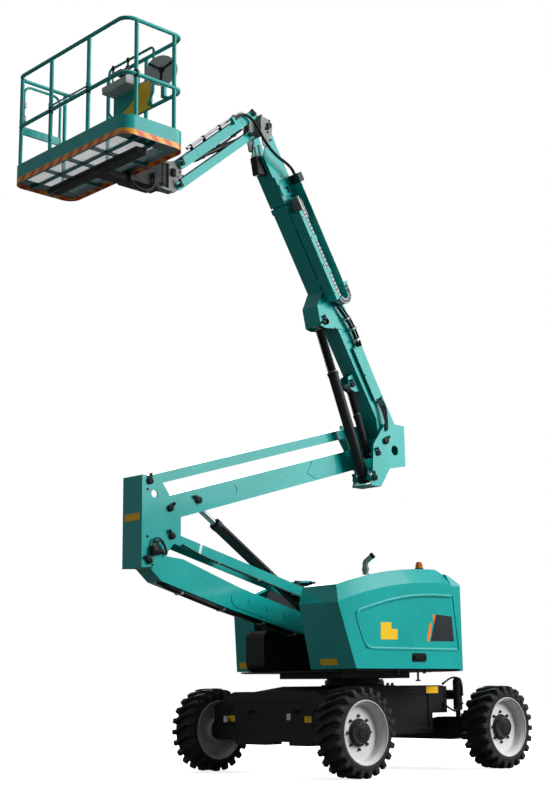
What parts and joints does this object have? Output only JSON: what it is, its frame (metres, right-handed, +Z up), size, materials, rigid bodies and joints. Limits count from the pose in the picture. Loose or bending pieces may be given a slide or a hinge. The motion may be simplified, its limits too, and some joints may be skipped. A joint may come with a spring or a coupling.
{
  "type": "articulating boom lift",
  "caption": "Four-wheel articulating boom lift with hooded turntable, two-stage parallelogram tower, telescopic main boom, jib and railed work platform",
  "frame": {"origin": "on the ground under the slew axis, midway between the axles", "axes": "+Z up, -X towards the booms' reach and the fixed drive axle, +X towards the steered axle and the counterweight, +Y to the tower's side"},
  "size_m": [5.2248, 2.38, 6.9285],
  "materials": {
    "black_paint": "satin black paint",
    "tyre": "matt rubber",
    "grey_paint": "light grey paint",
    "chrome": "hard chrome",
    "teal_paint": "satin two-pack paint",
    "engine_black": "painted iron",
    "amber_plastic": "moulded amber lens",
    "rubber": "ribbed rubber",
    "cast_grey": "painted casting",
    "hose_rubber": "smooth hose jacket",
    "panel_grey": "textured paint"
  },
  "bodies": {
    "chassis": {"chassis_frame": "black_paint", "drive_axle": "black_paint", "steer_axle": "black_paint", "axle_cylinders": "black_paint"},
    "wheel_drive_right": {"tyre_drive_right": "tyre", "rim_drive_right": "grey_paint"},
    "wheel_drive_left": {"tyre_drive_left": "tyre", "rim_drive_left": "grey_paint"},
    "knuckle_right": {"knuckle_right": "black_paint"},
    "knuckle_left": {"knuckle_left": "black_paint"},
    "wheel_steer_right": {"tyre_steer_right": "tyre", "rim_steer_right": "grey_paint"},
    "wheel_steer_left": {"tyre_steer_left": "tyre", "rim_steer_left": "grey_paint"},
    "tie_rod": {"tie_rod": "black_paint"},
    "steer_barrel": {"steer_cylinder_barrel": "black_paint"},
    "steer_rod": {"steer_cylinder_rod": "chrome"},
    "turntable": {"turntable_frame": "black_paint", "counterweight": "teal_paint", "engine_block": "engine_black", "exhaust_pipe": "chrome", "hydraulic_tank": "black_paint"},
    "hood_right": {"hood_right": "teal_paint", "beacon": "amber_plastic"},
    "hood_left": {"hood_left": "teal_paint"},
    "lower_boom": {"lower_tower_boom": "teal_paint"},
    "lower_link": {"lower_tower_link": "teal_paint"},
    "mid_bracket": {"mid_bracket": "teal_paint"},
    "upper_boom": {"upper_tower_boom": "teal_paint"},
    "upper_link": {"upper_tower_link": "teal_paint"},
    "upright": {"upright": "teal_paint"},
    "tower_cylinder_barrel": {"tower_cylinder_barrel": "black_paint"},
    "tower_cylinder_rod": {"tower_cylinder_rod": "chrome"},
    "main_boom": {"main_boom": "teal_paint", "boom_side_cover": "teal_paint", "lower_track_tray": "teal_paint"},
    "fly": {"fly_boom": "teal_paint", "upper_track_tray": "grey_paint"},
    "lift_cylinder_barrel": {"lift_cylinder_barrel": "black_paint"},
    "lift_cylinder_rod": {"lift_cylinder_rod": "chrome", "lift_cylinder_boot": "rubber"},
    "master_cylinder_barrel": {"master_cylinder_barrel": "black_paint"},
    "master_cylinder_rod": {"master_cylinder_rod": "chrome", "master_cylinder_boot": "rubber"},
    "jib_mount": {"jib_mount": "cast_grey", "jib_hose": "hose_rubber"},
    "jib_upper": {"jib_upper_arm": "teal_paint"},
    "jib_lower": {"jib_lower_arm": "teal_paint"},
    "jib_end": {"jib_end_bracket": "cast_grey"},
    "jib_cylinder_barrel": {"jib_cylinder_barrel": "black_paint"},
    "jib_cylinder_rod": {"jib_cylinder_rod": "chrome"},
    "platform": {"platform_support": "teal_paint", "platform_floor": "teal_paint", "platform_posts": "teal_paint", "platform_mid_rail": "teal_paint", "platform_top_rail": "teal_paint", "console": "panel_grey", "rotator_hose": "hose_rubber"},
    "gate": {"gate": "teal_paint"},
    "entry_bar": {"entry_bar": "teal_paint"}
  },
  "joints": [
    {"name": "wheel_drive_right_spin", "type": "hinge", "parent": "chassis", "child": "wheel_drive_right", "pos_m": [-1.07, -1.04, 0.42], "axis": [0, 1, 0], "continuous": true},
    {"name": "wheel_drive_left_spin", "type": "hinge", "parent": "chassis", "child": "wheel_drive_left", "pos_m": [-1.07, 1.04, 0.42], "axis": [0, 1, 0], "continuous": true},
    {"name": "steer_left", "type": "hinge", "parent": "chassis", "child": "knuckle_left", "pos_m": [1.07, 0.8, 0.42], "axis": [0, 0, 1], "range_deg": [-30, 30]},
    {"name": "steer_right", "type": "hinge", "parent": "chassis", "child": "knuckle_right", "pos_m": [1.07, -0.8, 0.42], "axis": [0, 0, 1], "range_deg": [-30, 30]},
    {"name": "wheel_steer_right_spin", "type": "hinge", "parent": "knuckle_right", "child": "wheel_steer_right", "pos_m": [1.07, -1.04, 0.42], "axis": [0, 1, 0], "continuous": true},
    {"name": "wheel_steer_left_spin", "type": "hinge", "parent": "knuckle_left", "child": "wheel_steer_left", "pos_m": [1.07, 1.04, 0.42], "axis": [0, 1, 0], "continuous": true},
    {"name": "tie_rod_pivot", "type": "hinge", "parent": "knuckle_left", "child": "tie_rod", "pos_m": [1.3, 0.8, 0.42], "axis": [0, 0, 1], "range_deg": [-30, 30]},
    {"name": "steer_barrel_pivot", "type": "hinge", "parent": "chassis", "child": "steer_barrel", "pos_m": [1.188, 0.15, 0.372], "axis": [0, 0, 1], "range_deg": [-0.79, 0.79]},
    {"name": "steer_rod_slide", "type": "slide", "parent": "steer_barrel", "child": "steer_rod", "axis": [0.0347, -0.9994, 0], "range_m": [-0.0767, 0.0767]},
    {"name": "slew", "type": "hinge", "parent": "chassis", "child": "turntable", "pos_m": [0, 0, 0.94], "axis": [0, 0, 1], "range_deg": [-175, 175]},
    {"name": "hood_right_hinge", "type": "hinge", "parent": "turntable", "child": "hood_right", "pos_m": [0, -0.4505, 1.988], "axis": [-1, 0, 0], "range_deg": [0, 60]},
    {"name": "hood_left_hinge", "type": "hinge", "parent": "turntable", "child": "hood_left", "pos_m": [0, 0.7905, 1.988], "axis": [1, 0, 0], "range_deg": [0, 60]},
    {"name": "lower_tower", "type": "hinge", "parent": "turntable", "child": "lower_boom", "pos_m": [0.367, 0.25, 1.247], "axis": [0, 1, 0], "range_deg": [-6.5, 45]},
    {"name": "lower_link_pivot", "type": "hinge", "parent": "turntable", "child": "lower_link", "pos_m": [0.64, 0.25, 1.497], "axis": [0, 1, 0], "range_deg": [-6.5, 45]},
    {"name": "mid_bracket_pivot", "type": "hinge", "parent": "lower_boom", "child": "mid_bracket", "pos_m": [-2.6391, 0.25, 2.02443], "axis": [0, 1, 0], "range_deg": [-45, 6.5]},
    {"name": "upper_tower", "type": "hinge", "parent": "mid_bracket", "child": "upper_boom", "pos_m": [-2.3891, 0.25, 2.54043], "axis": [0, -1, 0], "range_deg": [-6.5, 45]},
    {"name": "upper_link_pivot", "type": "hinge", "parent": "mid_bracket", "child": "upper_link", "pos_m": [-2.6381, 0.25, 2.78243], "axis": [0, -1, 0], "range_deg": [-6.5, 45]},
    {"name": "upright_pivot", "type": "hinge", "parent": "upper_boom", "child": "upright", "pos_m": [0.59412, 0.25, 3.40149], "axis": [0, 1, 0], "range_deg": [-6.5, 45]},
    {"name": "tower_cylinder_barrel_pivot", "type": "hinge", "parent": "lower_boom", "child": "tower_cylinder_barrel", "pos_m": [-0.44115, 0.25, 1.63676], "axis": [0, 1, 0], "range_deg": [-3.4, 0.49]},
    {"name": "tower_cylinder_rod_slide", "type": "slide", "parent": "tower_cylinder_barrel", "child": "tower_cylinder_rod", "axis": [-0.8372, 0, 0.5469], "range_m": [-0.1415, 0.9796]},
    {"name": "main_boom_lift", "type": "hinge", "parent": "upright", "child": "main_boom", "pos_m": [0.44212, 0, 3.49049], "axis": [0, 1, 0], "range_deg": [-57.8, 17.2]},
    {"name": "lift_cylinder_barrel_pivot", "type": "hinge", "parent": "upright", "child": "lift_cylinder_barrel", "pos_m": [0.24512, 0, 3.06549], "axis": [0, 1, 0], "range_deg": [-51.25, 15.25]},
    {"name": "lift_cylinder_rod_slide", "type": "slide", "parent": "lift_cylinder_barrel", "child": "lift_cylinder_rod", "axis": [-0.3804, 0, 0.9248], "range_m": [-0.4035, 0.1201], "deforming": ["lift_cylinder_boot"]},
    {"name": "master_cylinder_barrel_pivot", "type": "hinge", "parent": "upright", "child": "master_cylinder_barrel", "pos_m": [0.31812, 0, 3.34249], "axis": [0, 1, 0], "range_deg": [-55.69, 16.57]},
    {"name": "master_cylinder_rod_slide", "type": "slide", "parent": "master_cylinder_barrel", "child": "master_cylinder_rod", "axis": [-0.3633, 0, 0.9317], "range_m": [-0.1739, 0.0518], "deforming": ["master_cylinder_boot"]},
    {"name": "telescope", "type": "slide", "parent": "main_boom", "child": "fly", "axis": [-0.5329, 0, 0.8462], "range_m": [0, 2.1]},
    {"name": "jib_mount_pivot", "type": "hinge", "parent": "fly", "child": "jib_mount", "pos_m": [-1.24369, 0, 6.7305], "axis": [0, 1, 0], "range_deg": [-17.2, 57.8], "deforming": ["jib_hose"]},
    {"name": "jib_lift", "type": "hinge", "parent": "jib_mount", "child": "jib_lower", "pos_m": [-1.44069, 0, 6.5875], "axis": [0, 1, 0], "range_deg": [-6, 80]},
    {"name": "jib_upper_pivot", "type": "hinge", "parent": "jib_mount", "child": "jib_upper", "pos_m": [-1.42069, 0, 6.8235], "axis": [0, 1, 0], "range_deg": [-6, 80]},
    {"name": "jib_end_pivot", "type": "hinge", "parent": "jib_lower", "child": "jib_end", "pos_m": [-2.41883, 0, 5.76965], "axis": [0, 1, 0], "range_deg": [-80, 6]},
    {"name": "jib_cylinder_barrel_pivot", "type": "hinge", "parent": "jib_mount", "child": "jib_cylinder_barrel", "pos_m": [-1.44069, 0, 6.5875], "axis": [0, 1, 0], "range_deg": [-6.05, 80.72]},
    {"name": "jib_cylinder_rod_slide", "type": "slide", "parent": "jib_cylinder_barrel", "child": "jib_cylinder_rod", "axis": [-0.8547, 0, -0.5191], "range_m": [-0.023, 0.3056]},
    {"name": "platform_rotate", "type": "hinge", "parent": "jib_end", "child": "platform", "pos_m": [-2.61983, 0, 5.84565], "axis": [0, 0, 1], "range_deg": [-90, 90]},
    {"name": "gate_hinge", "type": "hinge", "parent": "platform", "child": "gate", "pos_m": [-3.63583, 0.929, 6.60065], "axis": [0, 0, -1], "range_deg": [0, 90]},
    {"name": "entry_bar_slide", "type": "slide", "parent": "platform", "child": "entry_bar", "axis": [0, 0, 1], "range_m": [0, 0.2]}
  ],
  "couplings": [
    {"joint": "steer_right", "follows": "steer_left", "ratio": 1},
    {"joint": "tie_rod_pivot", "follows": "steer_left", "ratio": -1},
    {"joint": "steer_barrel_pivot", "follows": "steer_left", "ratio": -0.026183},
    {"joint": "steer_rod_slide", "follows": "steer_left", "m_per_rad": -0.1464},
    {"joint": "lower_link_pivot", "follows": "lower_tower", "ratio": 1},
    {"joint": "mid_bracket_pivot", "follows": "lower_tower", "ratio": -1},
    {"joint": "upper_tower", "follows": "lower_tower", "ratio": 1},
    {"joint": "upper_link_pivot", "follows": "lower_tower", "ratio": 1},
    {"joint": "upright_pivot", "follows": "lower_tower", "ratio": 1},
    {"joint": "tower_cylinder_barrel_pivot", "follows": "lower_tower", "ratio": -0.075473},
    {"joint": "tower_cylinder_rod_slide", "follows": "lower_tower", "m_per_rad": 1.2472},
    {"joint": "lift_cylinder_barrel_pivot", "follows": "main_boom_lift", "ratio": 0.88667},
    {"joint": "lift_cylinder_rod_slide", "follows": "main_boom_lift", "m_per_rad": 0.39994},
    {"joint": "master_cylinder_barrel_pivot", "follows": "main_boom_lift", "ratio": 0.96347},
    {"joint": "master_cylinder_rod_slide", "follows": "main_boom_lift", "m_per_rad": 0.1723},
    {"joint": "jib_mount_pivot", "follows": "main_boom_lift", "ratio": -1},
    {"joint": "jib_upper_pivot", "follows": "jib_lift", "ratio": 1},
    {"joint": "jib_end_pivot", "follows": "jib_lift", "ratio": -1},
    {"joint": "jib_cylinder_barrel_pivot", "follows": "jib_lift", "ratio": 1.009},
    {"joint": "jib_cylinder_rod_slide", "follows": "jib_lift", "m_per_rad": 0.21882}
  ]
}
